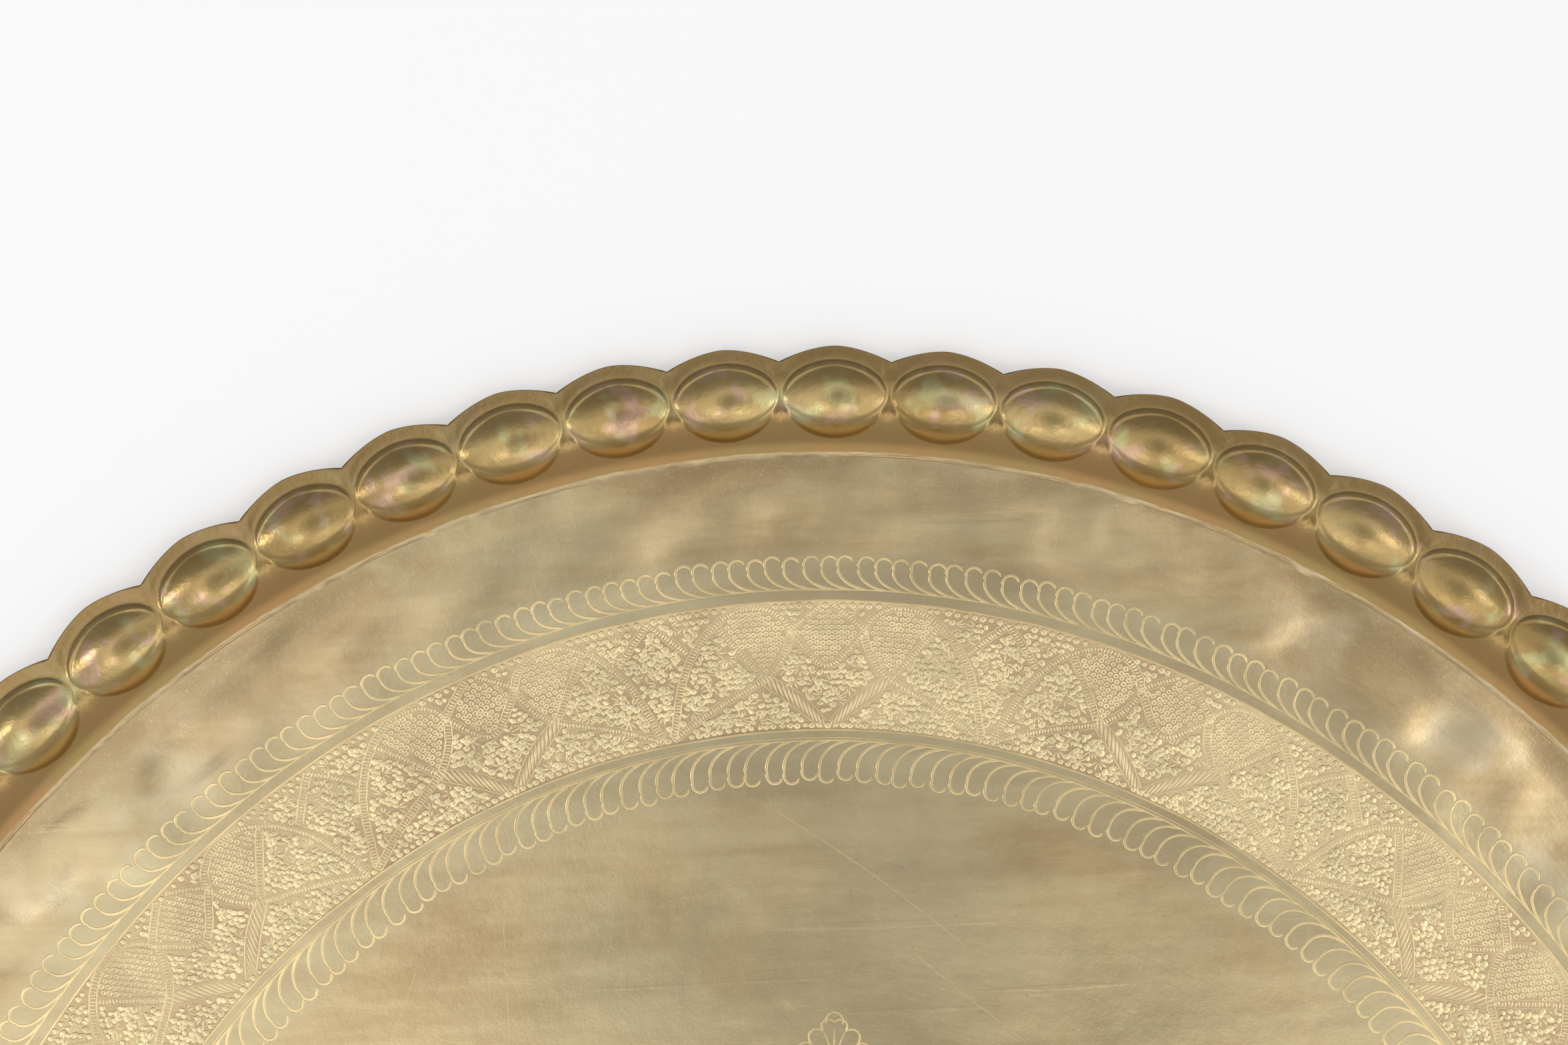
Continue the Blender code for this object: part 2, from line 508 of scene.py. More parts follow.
def wall_height(radius):
    """The wall, run out over the plate in a small cove."""
    base = PLATE_TOP + COVE_LIFT
    start = WALL_FOOT + COVE_SHIFT - (FOOT_TOP - PLATE_TOP - COVE_LIFT) / WALL_SLOPE
    return base + WALL_SLOPE * COVE_WIDTH * np.log1p(np.exp((radius - start) / COVE_WIDTH))


def bulge_height(radius, along):
    """The wall's top and the saddles, with the swelling that carries each dome."""
    saddle = smooth_min(wall_height(radius), TERRACE_TOP - SADDLE_DROP + 0 * radius, SADDLE_WIDTH)
    inside = oval_depth(along, radius - BULGE_CENTRE, BULGE_HALF_LENGTH, BULGE_REACH)
    swollen = saddle + np.clip(inside, 0, None) * BULGE_STEEPNESS
    bulge = smooth_min(swollen, TERRACE_TOP + 0 * radius, BULGE_WIDTH)
    return np.where(inside > 0, np.maximum(bulge, np.minimum(saddle, TERRACE_TOP)), saddle)


def bead_height(radius, depth):
    """The thin raised line round a dome, which fades towards the tray's middle."""
    outwards = np.clip(0.45 + (radius - DOME_CENTRE) / BEAD_FADE, 0, 1)
    spread = np.where(depth < BEAD_DEPTH, BEAD_OUTER_WIDTH, BEAD_INNER_WIDTH)
    return BEAD_HEIGHT * outwards * np.exp(-((depth - BEAD_DEPTH) / spread) ** 2)


def rim_height(radius, phase):
    """Height of the rim's upper face: wall, bulge, ringed dome and flange."""
    along = phase * BOSS_ANGLE * DOME_CENTRE
    depth, share = lens_depth(along, radius - DOME_CENTRE, DOME_HALF_LENGTH, DOME_HALF_WIDTH)
    crown = np.clip(1 - share ** 2, 0, 1)
    height = bulge_height(radius, along) + DOME_RISE * crown ** CROWN_POWER
    height = height + bead_height(radius, depth) * (share < 1.6)
    beyond = radius - outer_foot(along) - FLANGE_OFFSET
    flange = 1 / (1 + np.exp(-beyond / FLANGE_WIDTH))
    rolled = FLANGE_TOP - ROLL_DIP * np.exp(-(beyond / ROLL_WIDTH) ** 2)
    return height * (1 - flange) + rolled * flange


def edge_radius(phase):
    return TRAY_RADIUS - NOTCH_DEPTH * np.abs(2 * phase) ** NOTCH_POWER


def rim_rows(phase):
    """Radii of the rim's rows at each phase, closer together where the surface turns.

    Each stretch is where it starts and how many rows it has up to the next one.
    """
    along = phase * BOSS_ANGLE * DOME_CENTRE
    rise = np.sqrt(np.clip(1 - (along / BULGE_HALF_LENGTH) ** 2, 0, 1))
    crease = BULGE_CENTRE - BULGE_REACH * rise
    lip = crease + LIP_WIDTH
    foot = np.maximum(outer_foot(along), lip + 4.0)
    edge = edge_radius(phase)
    stretches = ((FOOT_INNER + 1.1 + 0 * phase, 6),
                 (WALL_FOOT + 1.8 + 0 * phase, 5),
                 (crease - 0.3, 12),
                 (lip, 9),
                 (np.minimum(lip + 4.0, foot - 3.0), 8),
                 (foot - 2.6, 13),
                 (np.minimum(foot + 3.0, edge - 0.6), 6),
                 (edge, 1))
    rows = []
    for (start, count), (end, _) in zip(stretches[:-1], stretches[1:]):
        share = np.arange(count) / count
        rows.append(start[None] + (end - start)[None] * share[:, None])
    rows.append(edge[None])
    return np.concatenate(rows)


def rim_back(radius, height):
    """The rim's underside, a sheet's thickness lower: every fourth row, from the edge to the foot."""
    rise = np.gradient(height, axis=0) / np.maximum(np.gradient(radius, axis=0), 1e-6)
    lean = np.sqrt(1 + rise ** 2)
    kept = list(range(len(radius) - 1, 0, -4)) + [0]
    low_radius = radius[kept] + SHEET * rise[kept] / lean[kept]
    low_radius[0] = radius[-1] - UNDER_EDGE_INSET
    low_height = np.maximum(height[kept] - SHEET / lean[kept], PLATE_TOP + 0.02)
    return low_radius, low_height


RIM_STEPS = 56
RIM_PARTS = (("bossed_rim_a", 0, 21), ("bossed_rim_b", 21, 42), ("bossed_rim_c", 42, BOSS_COUNT))


def make_rim(material):
    """The rim's bent sheet, in three runs of bosses."""
    for name, first, last in RIM_PARTS:
        turn = first + np.arange((last - first) * RIM_STEPS + 1) / RIM_STEPS
        phase = turn - np.floor(turn + 0.5)
        radius = rim_rows(phase)
        height = rim_height(radius, phase[None])
        low_radius, low_height = rim_back(radius, height)
        radii = np.concatenate([radius, radius[-1:], low_radius])
        heights = np.concatenate([height, height[-1:] - 0.5 * SHEET, low_height])
        radii[len(radius) - 1] -= EDGE_INSET
        pieces = sheet_of(grid_at(radii, turn * BOSS_ANGLE, heights))
        finish_piece(pieces.build(name, material), "bossed_rim")


# -------------------------------- the plate and its seam

def plate_lift(x, y):
    """The sheet's unevenness: hand-flattened, with soft dents in the shoulder beside the wall."""
    radius = np.hypot(x, y)
    fade = np.clip((FOOT_INNER - radius) / WALL_FADE, 0, 1)
    shoulder = np.clip((radius - DENT_START) / DENT_FADE, 0, 1)
    dents = (1.0 + 0.8 * np.abs(x) / PLATE_RADIUS) * waves(x, y, 9, DENT_LENGTH, 2) * shoulder
    swells = SWELL_HEIGHT * waves(x, y, 5, SWELL_LENGTH, 2)
    return LIFT_LIMIT * np.tanh((swells + dents) / LIFT_LIMIT) * fade


PLATE_COLUMNS = 720
TOP_ROWS = 46
UNDER_ROWS = 24


def disc_grid(radii, heights):
    """Rows of points round the axis, one for each radius and height."""
    angle = np.linspace(0, 2 * math.pi, PLATE_COLUMNS + 1)
    radii = np.asarray(radii, float)[:, None]
    heights = np.asarray(heights, float)[:, None] + 0 * angle
    return grid_at(radii, angle, heights)


def make_plate(material, band):
    """The field, the sunk band and the shoulder, which turns down and goes on as the underside."""
    field = np.linspace(0.5, BAND_INNER, 90)
    finish_on_plate(sheet_of(disc_grid(field, [PLATE_TOP] * len(field))), "plate_field", material)
    ground = [BAND_INNER, BAND_INNER + 0.3] + list(np.linspace(BAND_INNER + 2, BAND_OUTER - 2, 18))
    ground += [BAND_OUTER - 0.3, BAND_OUTER]
    heights = [PLATE_TOP] + [GROUND] * (len(ground) - 2) + [PLATE_TOP]
    finish_on_plate(sheet_of(disc_grid(ground, heights)), "plate_band", band)
    rows = list(np.linspace(BAND_OUTER, PLATE_RADIUS - 1.0, TOP_ROWS))
    rows += [PLATE_RADIUS - 0.2, PLATE_RADIUS, PLATE_RADIUS - 0.2]
    rows += list(np.linspace(PLATE_RADIUS - 2.0, 0.5, UNDER_ROWS))
    heights = [PLATE_TOP] * (TOP_ROWS + 1) + [0.5 * PLATE_TOP, 0.0] + [0.0] * UNDER_ROWS
    shoulder = disc_grid(rows, heights)
    top = shoulder[:TOP_ROWS]
    top[..., 2] += plate_lift(top[..., 0], top[..., 1])
    pieces = sheet_of(shoulder)
    finish_piece(pieces.build("plate_shoulder", material), "engraved_plate")


def make_seam(material):
    """Hand-wiped solder cove in the corner between the plate and the rim's wall."""
    angle = np.linspace(0, 2 * math.pi, 2161)
    x, y = plan_at(400, angle).T
    inner = SEAM_INNER + 0.30 * waves(x, y, 21, 60) + 0.25 * waves(x, y, 22, 11)
    outer = SEAM_OUTER + 0.20 * waves(x, y, 23, 45) + 0.10 * waves(x, y, 24, 14)
    sunk = PLATE_TOP - 0.05
    rows = []
    for share in np.linspace(0, 1, 13):
        radius = inner + (outer - inner) * share
        lumps = 0.05 * waves(*plan_at(radius, angle).T, 25, 9)
        skin = (SEAM_THICKNESS + lumps) * math.sin(math.pi * share) - SEAM_SINK
        rise = wall_height(radius) + skin - sunk
        rows.append(grid_at(radius, angle, sunk + rise * (1 - (1 - share) ** 6)))
    pieces = sheet_of(np.array(rows))
    finish_piece(pieces.build("solder_seam_bead", material), "solder_seam")


# -------------------------------- the ornament
# Local ornament coordinates: x clockwise along the band's middle line, y the radius.

BAND_MIDDLE = (BAND_OUTER + BAND_INNER) / 2
UNIT_COUNT = 15
UNIT_WIDTH = 2 * math.pi / UNIT_COUNT * BAND_MIDDLE
UNIT_AXIS = math.radians(87.5)

HEAD_TOP = [(10.8, 261.6), (12.8, 265.6), (16.8, 268.8), (22.0, 269.8), (27.6, 269.0), (32.6, 266.0),
            (37.0, 262.0), (40.6, 257.5), (44.0, 252.0), (47.2, 244.0), (50.8, 233.6)]
HEAD_BOTTOM = [(10.8, 261.6), (11.8, 257.8), (13.9, 253.5), (18.0, 248.8), (24.0, 245.4), (31.0, 242.4),
               (40.0, 238.4), (46.0, 235.4), (51.0, 232.8)]
HEAD_CUT = [(32.4, 264.6), (20.6, 248.6)]
WEDGE = [(-11.0, 261.6), (-0.2, 251.2), (11.0, 261.4)]
WEDGE_TOP = [(11.4, 262.2), (1.8, 270.0)]
CHEVRON = [(42.6, 258.6), (47.6, 264.2), (52.6, 269.4)]
LEAF = [(20.2, 247.8), (11.0, 241.6), (1.0, 233.0)]


def to_plan(points, axis):
    """Local ornament points to plan points round the tray, with the local x axis's turn."""
    points = np.asarray(points, float).reshape(-1, 2)
    angle = axis - points[:, 0] / BAND_MIDDLE
    return plan_at(points[:, 1], angle), angle - math.pi / 2


def curve_through(points, spacing):
    """Even points on a smooth curve through the given ones."""
    points = np.asarray(points, float)
    ends = np.concatenate([2 * points[:1] - points[1:2], points, 2 * points[-1:] - points[-2:-1]])
    found = []
    for a, b, c, d in zip(ends[:-3], ends[1:-2], ends[2:-1], ends[3:]):
        t = np.linspace(0, 1, 13)[:-1, None]
        found.append(0.5 * (2 * b + (c - a) * t + (2 * a - 5 * b + 4 * c - d) * t ** 2
                            + (3 * b - 3 * c + d - a) * t ** 3))
    found = np.concatenate(found + [points[-1:]])
    length = np.concatenate([[0], np.cumsum(np.hypot(*np.diff(found, axis=0).T))])
    even = np.linspace(0, length[-1], max(2, int(round(length[-1] / spacing)) + 1))
    return np.stack([np.interp(even, length, found[:, 0]), np.interp(even, length, found[:, 1])], -1)


def sideways(points):
    """Unit vectors to the left of a line at each of its points."""
    run = np.gradient(points, axis=0)
    run /= np.maximum(np.hypot(run[:, 0], run[:, 1]), 1e-9)[:, None]
    return np.stack([-run[:, 1], run[:, 0]], -1)


def distance_to(places, line):
    """Distance from each place to the nearest of a line's points."""
    gaps = places[:, None] - line[None]
    return np.sqrt((gaps ** 2).sum(-1).min(1))


def within(places, outline):
    """Which places lie inside a closed outline."""
    x, y = places[:, 0][:, None], places[:, 1][:, None]
    x0, y0 = outline[:, 0][None], outline[:, 1][None]
    x1, y1 = np.roll(x0, -1, 1), np.roll(y0, -1, 1)
    climb = np.where(y1 == y0, 1e-9, y1 - y0)
    crosses = ((y0 > y) != (y1 > y)) & (x < (x1 - x0) * (y - y0) / climb + x0)
    return crosses.sum(1) % 2 == 1


def as_drawn(points):
    return np.asarray(points, float)


def flipped(points):
    return np.asarray(points, float) * (-1, 1)


def cut_line(pieces, plan, width, depth, taper=0.6):
    """A chased line: a groove between the two small burrs that the tool throws up."""
    left = sideways(plan)
    ends = np.minimum(np.arange(len(plan)), np.arange(len(plan))[::-1])
    swell = np.clip(0.45 + ends * taper, 0, 1)[:, None]
    rows = []
    for share, rise in ((-0.5, -0.03), (-0.26, 1.0), (0.0, 0.1), (0.26, 1.0), (0.5, -0.03)):
        flat = plan + left * share * width * swell
        height = PLATE_TOP + rise * depth * swell
        rows.append(np.concatenate([flat, height], -1))
    pieces.add_quads(np.array(rows)[::-1])


def ridge_line(pieces, plan, width, height):
    """A raised line left standing between two rows of punch marks."""
    left = sideways(plan)
    rows = []
    for share, rise in ((-0.5, -0.03), (-0.12, height), (0.12, height), (0.5, -0.03)):
        level = np.full((len(plan), 1), GROUND + rise)
        rows.append(np.concatenate([plan + left * share * width, level], -1))
    pieces.add_quads(np.array(rows)[::-1])


def turned_stamp(profile, sides):
    """Round stamp from (radius, height) pairs, outermost first; a radius of 0 closes it."""
    verts, faces = [], []
    for radius, height in profile:
        if radius == 0:
            verts.append((0, 0, height))
            break
        for k in range(sides):
            angle = 2 * math.pi * k / sides
            verts.append((radius * math.cos(angle), radius * math.sin(angle), height))
    levels = len(profile) - (profile[-1][0] == 0)
    for level in range(levels - 1):
        for k in range(sides):
            a, b = level * sides + k, level * sides + (k + 1) % sides
            faces.append((a, b, b + sides, a + sides))
    if profile[-1][0] == 0:
        last = (levels - 1) * sides
        faces += [(last + k, last + (k + 1) % sides, levels * sides) for k in range(sides)]
    return np.array(verts, float), faces


def bar_stamp(length, width, height, bow=0.0):
    """Short chisel stroke along x, roof-shaped, bowed a little to one side."""
    end, side = length / 2, width / 2
    verts = [(-end, 0, -0.03), (0, -side + bow, -0.03), (end, 0, -0.03), (0, side + bow, -0.03),
             (-0.55 * end, 0.6 * bow, height), (0.55 * end, 0.6 * bow, height)]
    faces = [(0, 1, 4), (1, 5, 4), (1, 2, 5), (2, 3, 5), (3, 4, 5), (3, 0, 4)]
    verts = np.array(verts, float) + (0, 0, GROUND)
    return verts, faces


RING = turned_stamp([(0.90, GROUND - 0.02), (0.70, GROUND + 0.13), (0.54, GROUND + 0.13),
                     (0.30, GROUND + 0.01)], 12)
PIP = turned_stamp([(1.22, GROUND - 0.03), (1.06, GROUND + 0.12), (0.66, GROUND + 0.20),
                    (0, GROUND + 0.21)], 9)
PIPS = [(PIP[0] * (long, wide, 1) + PIP[0][:, :1] * (0, 0, tilt), PIP[1])
        for long, wide, tilt in ((1.0, 1.0, 0.05), (1.22, 0.84, 0.09), (0.90, 1.10, 0.12))]
BAR = bar_stamp(2.3, 0.72, 0.20, 0.26)
STROKE = bar_stamp(3.6, 0.80, 0.18)
HATCH = bar_stamp(8.2, 0.90, 0.20)

# How far apart the marks stand, how freely they are set, and the sizes of what they make up
RING_NET, RING_JITTER = 1.86, 0.09
PIP_NET, PIP_JITTER = 1.9, 0.26
FAN_NET, FAN_JITTER = 6.0, 0.8
LADDER_STEP, LADDER_HALF = 0.98, 1.12
LEAF_STEP, LEAF_HALF, LEAF_SLANT = 2.1, 2.3, 0.58
RAIL_WIDTH, RAIL_HEIGHT = 0.44, 0.12


def hex_places(low, high, spacing, jitter, rng):
    """Places on a loosely hexagonal net."""
    rows = []
    step = spacing * math.sqrt(3) / 2
    for k, y in enumerate(np.arange(low[1], high[1], step)):
        xs = np.arange(low[0] + (k % 2) * spacing / 2, high[0], spacing)
        rows.append(np.stack([xs, np.full(len(xs), y)], -1))
    places = np.concatenate(rows)
    return places + rng.normal(0, jitter, places.shape)


def head_outline():
    """The closed outline of the head on the side where x is positive."""
    top = curve_through(HEAD_TOP[:6], 1.0)
    bottom = curve_through(HEAD_BOTTOM[:5], 1.0)
    return np.concatenate([top, np.array(HEAD_CUT), bottom[bottom[:, 0] < 20.0][::-1]])


class BandUnit:
    """One mirror-symmetric unit of the chased band: two heads and a wedge of rings, and two leaves."""

    def __init__(self, axis, rng, rings, pips, strokes):
        self.axis = axis
        self.rng = rng
        self.rings = rings
        self.pips = pips
        self.strokes = strokes
        self.heads = [side(head_outline()) for side in (as_drawn, flipped)]
        self.wedge = np.array(WEDGE + [(1.8, 269.6), (-1.8, 269.6)])

    def draw(self):
        self.lines = self.draw_ladders()
        self.draw_rings()
        self.spines = self.draw_leaves()
        cells = self.draw_fans()
        self.draw_pips(cells)
        self.draw_pip_rows()

    def stamp(self, pieces, template, places, turns, scales):
        plan, turn = to_plan(places, self.axis)
        rows = np.stack([plan[:, 0], plan[:, 1], turn + turns, np.broadcast_to(scales, len(plan))], -1)
        pieces.stamp(template, rows)

    def rail(self, line):
        ridge_line(self.strokes, to_plan(line, self.axis)[0], RAIL_WIDTH, RAIL_HEIGHT)

    def ladder(self, points):
        """A row of small crescents between two rails; gives back close points along its middle."""
        line = curve_through(points, LADDER_STEP)
        line = line + self.rng.normal(0, 0.06, line.shape)
        side = sideways(line)
        turns = np.arctan2(side[:, 1], side[:, 0]) + self.rng.normal(0, 0.12, len(line))
        self.stamp(self.strokes, BAR, line, turns, self.rng.uniform(0.85, 1.08, len(line)))
        for offset in (-LADDER_HALF, LADDER_HALF):
            self.rail(line + side * (offset + self.rng.normal(0, 0.05, len(line)))[:, None])
        return curve_through(points, 0.6)

    def draw_ladders(self):
        ladders = [self.ladder(WEDGE)]
        for side in (as_drawn, flipped):
            for points in (HEAD_TOP, HEAD_BOTTOM, HEAD_CUT, CHEVRON, WEDGE_TOP):
                ladders.append(self.ladder(side(points)))
        return np.concatenate(ladders)

    def draw_rings(self):
        """Ring marks all over the heads and the wedge."""
        net = hex_places((-34, 247), (34, 270), RING_NET, RING_JITTER, self.rng)
        inside = np.zeros(len(net), bool)
        for outline in self.heads + [self.wedge]:
            inside |= within(net, outline)
        places = net[inside & (distance_to(net, self.lines) > 1.5)]
        turns = self.rng.uniform(0, 1, len(places))
        self.stamp(self.rings, RING, places, turns, self.rng.uniform(0.9, 1.1, len(places)))

    def draw_leaves(self):
        """Slanting hatch strokes between a leaf's two edges; gives back the leaves' spines."""
        spines = []
        for side, slant in ((as_drawn, LEAF_SLANT), (flipped, -LEAF_SLANT)):
            spine = curve_through(side(LEAF), LEAF_STEP)
            along = np.arctan2(*(spine[-1] - spine[0])[::-1])
            swell = np.sin(math.pi * np.linspace(0.16, 0.90, len(spine))) ** 0.5
            self.stamp(self.strokes, HATCH, spine, along + slant, 0.30 + 0.68 * swell)
            for offset in (-LEAF_HALF, LEAF_HALF):
                self.rail(spine + sideways(spine) * (offset * swell)[:, None])
            spines.append(spine)
        return np.concatenate(spines)

    def free(self, places, gap, leaf_gap):
        """The places that lie clear of the ladders, the leaves, the heads and the wedge."""
        taken = distance_to(places, self.lines) < gap
        taken |= distance_to(places, self.spines) < leaf_gap
        for outline in self.heads + [self.wedge]:
            taken |= within(places, outline)
        taken |= (np.abs(places[:, 0]) > UNIT_WIDTH / 2 + 0.2)
        return places[~taken]

    def draw_fans(self):
        """Small fans of rays; gives back a place in the middle of each."""
        low, high = (-UNIT_WIDTH / 2, BAND_INNER + 4.0), (UNIT_WIDTH / 2, BAND_OUTER - 3.0)
        cells = []
        for hub in self.free(hex_places(low, high, FAN_NET, FAN_JITTER, self.rng), 2.6, 4.0):
            count = self.rng.integers(4, 7)
            middle = self.rng.uniform(0, 2 * math.pi)
            spread = np.linspace(-1, 1, count) * self.rng.uniform(0.9, 1.5)
            turns = middle + spread + self.rng.normal(0, 0.08, count)
            reach = self.rng.uniform(1.7, 2.1, count)
            self.stamp(self.strokes, STROKE, hub + plan_at(reach, turns), turns,
                       self.rng.uniform(0.62, 0.95, count))
            cells.append(hub + 1.75 * np.array([math.cos(middle), math.sin(middle)]))
        return cells

    def draw_pips(self, cells):
        """Pips wherever nothing else is, a few shapes in turn."""
        low, high = (-UNIT_WIDTH / 2, BAND_INNER + 2.9), (UNIT_WIDTH / 2, BAND_OUTER - 2.6)
        beads = self.free(hex_places(low, high, PIP_NET, PIP_JITTER, self.rng), 1.85, 3.1)
        if cells:
            beads = beads[distance_to(beads, np.array(cells)) > 1.75]
        for k, template in enumerate(PIPS):
            some = beads[k::len(PIPS)]
            turns = self.rng.uniform(0, 6, len(some))
            self.stamp(self.pips, template, some, turns, self.rng.uniform(0.74, 1.10, len(some)))

    def draw_pip_rows(self):
        """A row of pips along each edge of the band."""
        for radius in (BAND_INNER + 1.25, BAND_OUTER - 1.35):
            xs = np.arange(-UNIT_WIDTH / 2, UNIT_WIDTH / 2, 2.5)
            xs = xs + self.rng.normal(0, 0.25, len(xs))
            ys = radius + self.rng.normal(0, 0.1, len(xs))
            row = np.stack([xs, ys], -1)
            row = row[distance_to(row, self.lines) > 1.3]
            turns = self.rng.uniform(0, 6, len(row))
            self.stamp(self.pips, PIP, row, turns, self.rng.uniform(0.72, 1.0, len(row)))


BAND_PARTS = (("a", 0, 5), ("b", 5, 10), ("c", 10, UNIT_COUNT))


def make_band(material):
    """The band's punched and chased marks, in three runs of units, each with its own random draws."""
    for part, first, last in BAND_PARTS:
        rings, pips, strokes = Pieces(), Pieces(), Pieces()
        for unit in range(first, last):
            axis = UNIT_AXIS + unit * 2 * math.pi / UNIT_COUNT
            BandUnit(axis, np.random.default_rng(100 + unit), rings, pips, strokes).draw()
        for kind, pieces in (("rings", rings), ("pips", pips), ("strokes", strokes)):
            finish_on_plate(pieces, "band_" + kind + "_" + part, material)


def bezier(points, count):
    t = np.linspace(0, 1, count)[:, None]
    a, b, c, d = np.asarray(points, float)
    return a * (1 - t) ** 3 + 3 * b * t * (1 - t) ** 2 + 3 * c * t ** 2 * (1 - t) + d * t ** 3


def scroll(head_height):
    """One scroll of a border: a round head and the long tail that runs down and along from it."""
    head_radius = 2.5
    head = plan_at(head_radius, np.radians(np.linspace(212, 22, 9))) + (0, head_height)
    tail = bezier([(-2.35, head_height - 0.9), (-2.7, head_height * 0.42), (1.0, 0.7), (6.4, 0.1)], 11)
    return head, tail


def make_border(name, baseline, direction, count, head_height, material):
    """A row of scrolls standing outwards (direction 1) or inwards (-1) on a circle."""
    rng = np.random.default_rng(count)
    pieces = Pieces()
    pitch = 2 * math.pi / count
    for k in range(count):
        axis = k * pitch + rng.normal(0, 0.05) * pitch
        size = rng.uniform(0.94, 1.06)
        lean = rng.normal(0, 0.03)
        for line in scroll(head_height * size):
            radius = baseline + direction * line[:, 1]
            angle = axis - (line[:, 0] + lean * line[:, 1]) / baseline
            cut_line(pieces, plan_at(radius, angle), 0.86, rng.uniform(0.12, 0.19))
    finish_on_plate(pieces, name, material)


SCRIBED_CIRCLES = ((OUTER_SCROLL, 0.5), (BAND_OUTER + 0.2, 0.6), (BAND_INNER - 0.2, 0.6),
                   (INNER_SCROLL, 0.6), (INNER_SCROLL + 0.8, 0.35))


def make_circles(material):
    """Scribed circles: each is a hand-cut line that wavers a little."""
    pieces = Pieces()
    angle = np.linspace(0, 2 * math.pi, 1081)
    for k, (radius, width) in enumerate(SCRIBED_CIRCLES):
        wander = radius + 0.16 * waves(*plan_at(300, angle).T, 40 + k, 70)
        cut_line(pieces, plan_at(wander, angle), width, CUT_DEPTH, taper=1)
    finish_on_plate(pieces, "scribed_circles", material)


def make_scratches(material):
    """A few long scratches left in the field by use."""
    rng = np.random.default_rng(7)
    pieces = Pieces()
    for _ in range(12):
        middle = rng.uniform(-190, 190, 2)
        turn = rng.uniform(0, math.pi)
        along = np.linspace(-0.5, 0.5, 24) * rng.uniform(25, 110)
        bow = rng.uniform(-0.0012, 0.0012) * along ** 2
        plan = np.stack([middle[0] + along * math.cos(turn) - bow * math.sin(turn),
                         middle[1] + along * math.sin(turn) + bow * math.cos(turn)], -1)
        plan = plan[np.hypot(plan[:, 0], plan[:, 1]) < 214]
        if len(plan) > 4:
            cut_line(pieces, plan, 0.22, 0.012, taper=0.2)
    finish_on_plate(pieces, "field_scratches", material)


MEDALLION_TIP = 148.0
MEDALLION_LEAVES = 12
MEDALLION_PETALS = 24
MEDALLION_FIRST = math.radians(86.8)
MEDALLION_CIRCLES = (99.0, 96.6, 40.0, 38.4, 9.0)
OUTLINE_WIDTH = 0.62
RIB_WIDTH = 0.5
TIP_RADIUS = 2.6
LEAF_EDGE = [(0.0, 0.0), (3.3, 2.6), (6.6, 6.4), (9.8, 10.6), (12.6, 15.6), (14.6, 21.6), (15.4, 28.2),
             (14.8, 35.0), (12.6, 41.6)]
PETAL = np.array([(0, 40.0), (5.6, 58.0), (7.4, 74.0), (5.0, 86.0), (0, 94.6)])
SMALL_PETAL = np.array([(0, 9.0), (3.4, 20.0), (3.2, 30.0), (0, 38.0)])


def lobes(points, bulge):
    """A scalloped outline: an arc standing out to the left over each step between points."""
    arcs = []
    for a, b in zip(points[:-1], points[1:]):
        middle = (a + b) / 2
        step = b - a
        out = np.array([-step[1], step[0]]) * bulge
        t = np.linspace(0, math.pi, 9)[:, None]
        arcs.append(middle - step / 2 * np.cos(t) + out * np.sin(t))
    return arcs


def draw_turned(pieces, line, turn, width=OUTLINE_WIDTH):
    """Cut a line drawn with y as the radius, turned so that its y axis points at an angle."""
    angle = turn - math.pi / 2
    cos, sin = math.cos(angle), math.sin(angle)
    plan = np.stack([cos * line[:, 0] - sin * line[:, 1], sin * line[:, 0] + cos * line[:, 1]], -1)
    cut_line(pieces, plan, width, CUT_DEPTH)


def draw_leaf(pieces, turn):
    """A pointed leaf with scalloped edges, curved ribs and a midrib."""
    tip = np.radians(np.linspace(200, -20, 12))
    knob = plan_at(TIP_RADIUS, tip) + (0, MEDALLION_TIP - TIP_RADIUS)
    draw_turned(pieces, knob, turn)
    half = np.array([(x, MEDALLION_TIP - 3.0 - y) for x, y in LEAF_EDGE])
    for flip in (1, -1):
        side = half * (flip, 1)
        for arc in lobes(side, 0.55 * flip):
            draw_turned(pieces, arc, turn)
        for x, y in side[1:]:
            rib = bezier([(x, y), (x * 0.8, y - 1.0), (1.2 * flip, y - 3.5), (0.9 * flip, y - 8.5)], 10)
            draw_turned(pieces, rib, turn, RIB_WIDTH)
    midrib = np.array([(0.0, MEDALLION_TIP - 5.0 - 4.0 * i) for i in range(11)])
    draw_turned(pieces, midrib, turn, RIB_WIDTH)


def draw_petals(pieces, turn):
    """A long petal with its midrib, and a small one nearer the centre."""
    for flip in (1, -1):
        draw_turned(pieces, curve_through(PETAL * (flip, 1), 2.0), turn)
    midrib = np.array([(0, 50.0 + 4 * i) for i in range(9)])
    draw_turned(pieces, midrib, turn, RIB_WIDTH)
    for flip in (1, -1):
        draw_turned(pieces, curve_through(SMALL_PETAL * (flip, 1), 2.0), turn)


def make_medallion(material):
    """Centre rosette: leaves round a double ring, with two rows of petals inside it."""
    pieces = Pieces()
    for k in range(MEDALLION_LEAVES):
        draw_leaf(pieces, MEDALLION_FIRST + k * 2 * math.pi / MEDALLION_LEAVES)
    angle = np.linspace(0, 2 * math.pi, 361)
    for radius in MEDALLION_CIRCLES:
        draw_turned(pieces, plan_at(radius, angle), 0.0)
    for k in range(MEDALLION_PETALS):
        draw_petals(pieces, MEDALLION_FIRST + k * 2 * math.pi / MEDALLION_PETALS)
    finish_on_plate(pieces, "centre_medallion", material)


# -------------------------------- camera, stage and lights

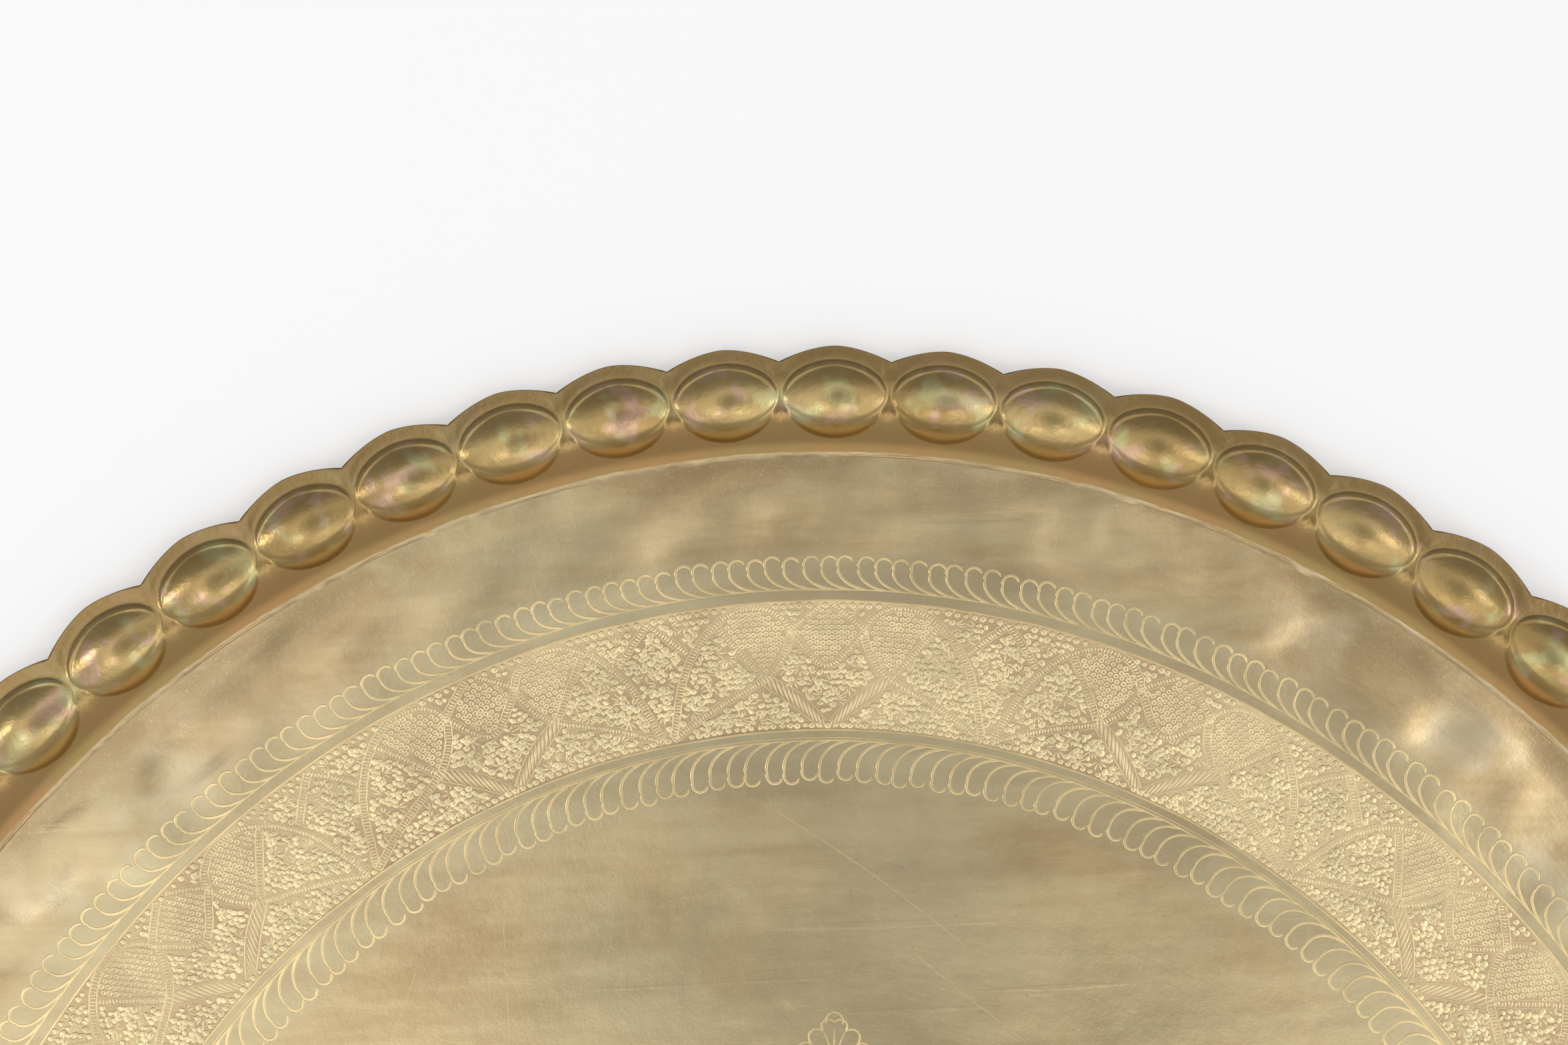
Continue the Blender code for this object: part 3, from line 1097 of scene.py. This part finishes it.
def place_camera():
    """Nearly overhead, tilted a little, close above the tray."""
    turn = math.radians(-0.643)
    view = math.radians(79.663)
    roll = math.radians(-1.787)
    place = Vector((-0.003854, 0.196083, 0.547565 + PLATE_TOP * MM))
    data = bpy.data.cameras.new("camera")
    data.sensor_width = 36
    data.lens = 41.0
    camera = bpy.data.objects.new("camera", data)
    bpy.context.scene.collection.objects.link(camera)
    right = Vector((1, 0, 0))
    up = Vector((0, math.sin(view), math.cos(view)))
    forward = Vector((0, math.cos(view), -math.sin(view)))
    side = right * math.cos(roll) + up * math.sin(roll)
    head = -right * math.sin(roll) + up * math.cos(roll)
    matrix = Matrix((side, head, -forward)).transposed().to_4x4()
    matrix.translation = place
    camera.matrix_world = Matrix.Rotation(turn, 4, "Z") @ matrix
    bpy.context.scene.camera = camera


def soft_light(name, bearing, elevation, distance, size, power):
    """Area light aimed at the tray. Bearing is clockwise from +Y, in degrees."""
    aim = Vector((0, 0.15, 0))
    bearing = math.radians(bearing)
    elevation = math.radians(elevation)
    flat = Vector((math.sin(bearing), math.cos(bearing), 0)) * math.cos(elevation)
    data = bpy.data.lights.new(name, "AREA")
    data.shape = "DISK"
    data.size = size
    data.energy = power
    light = bpy.data.objects.new(name, data)
    bpy.context.scene.collection.objects.link(light)
    light.location = aim + (flat + Vector((0, 0, math.sin(elevation)))) * distance
    light.rotation_euler = (aim - light.location).to_track_quat("-Z", "Y").to_euler()


# Brightness of the sky by the cosine of the angle from its lightly tilted pole, and from north
SKY_POLE = (0.11, -0.02, 0.994)
SKY_BY_HEIGHT = ((0.0, 0.32), (0.30, 0.34), (0.60, 0.36), (0.74, 0.50),
                 (0.83, 0.86), (0.89, 0.96), (0.945, 0.48), (0.99, 0.235))
SKY_TO_NORTH = ((0.05, 1.0), (0.30, 0.80), (0.60, 0.60), (0.95, 0.55))
SKY_STRENGTH = 1.52


def make_floor():
    """A white floor that gives off a little light of its own, so that it stays white beside the tray."""
    side, gap = 40.0, 0.0002
    mesh = bpy.data.meshes.new("floor")
    mesh.from_pydata([(-side, -side, 0), (side, -side, 0), (side, side, 0), (-side, side, 0)], [],
                     [(0, 1, 2, 3)])
    floor = bpy.data.objects.new("floor", mesh)
    floor.location.z = CAD_LOW[2] - gap
    bpy.context.scene.collection.objects.link(floor)
    n = Nodes("floor")
    n.shader.inputs["Emission Color"].default_value = (1, 1, 0.99, 1)
    n.shader.inputs["Emission Strength"].default_value = 0.21
    mesh.materials.append(n.done((0.965, 0.965, 0.955, 1), 0.7, metallic=0.0))


def make_sky():
    """A plain studio sky: a bright band round a dark zenith, dimmer low down and to the north."""
    world = bpy.data.worlds.new("studio")
    world.use_nodes = True
    tree = world.node_tree
    background = tree.nodes["Background"]
    place = tree.nodes.new("ShaderNodeTexCoord")

    def lean(direction):
        """How far each direction of the sky leans towards the given one."""
        node = tree.nodes.new("ShaderNodeVectorMath")
        node.operation = "DOT_PRODUCT"
        node.inputs[1].default_value = direction
        tree.links.new(place.outputs["Generated"], node.inputs[0])
        return node.outputs["Value"]

    def tones(value, stops):
        node = tree.nodes.new("ShaderNodeValToRGB")
        tree.links.new(value, node.inputs["Fac"])
        ramp = node.color_ramp
        ramp.interpolation = "EASE"
        ramp.elements.remove(ramp.elements[1])
        for k, (position, tone) in enumerate(stops):
            stop = ramp.elements[0] if k == 0 else ramp.elements.new(position)
            stop.position = position
            stop.color = (tone, tone, tone * 1.01, 1)
        return node.outputs["Color"]

    height = tones(lean(SKY_POLE), SKY_BY_HEIGHT)
    north = tones(lean((0, 1, 0)), SKY_TO_NORTH)
    both = tree.nodes.new("ShaderNodeMix")
    both.data_type = "RGBA"
    both.blend_type = "MULTIPLY"
    both.inputs[0].default_value = 1.0
    tree.links.new(height, both.inputs[6])
    tree.links.new(north, both.inputs[7])
    tree.links.new(both.outputs[2], background.inputs["Color"])
    background.inputs["Strength"].default_value = SKY_STRENGTH
    bpy.context.scene.world = world


def make_stage():
    make_floor()
    make_sky()
    bpy.context.scene.view_settings.view_transform = "Standard"
    soft_light("west", 277, 36, 2.8, 0.5, 5)
    soft_light("east", 90, 47, 2.8, 0.4, 2.5)
    soft_light("lamp_a", 222, 64, 2.4, 0.10, 1.2)
    soft_light("lamp_b", 138, 66, 2.4, 0.10, 1.0)


place_camera()
make_stage()
make_rim(rim_brass())
make_plate(plate_brass(), band_brass())
make_seam(solder_metal())
make_band(line_brass("struck_brass", (0.97, 0.80, 0.455), 0.36))
cut = line_brass("cut_brass", (0.98, 0.76, 0.395), 0.30)
make_border("outer_border", OUTER_SCROLL, 1, 313, 7.7, cut)
make_border("inner_border", INNER_SCROLL, -1, 247, 9.9, cut)
make_circles(cut)
make_medallion(cut)
make_scratches(line_brass("scratch_brass", (0.76, 0.61, 0.35), 0.34))
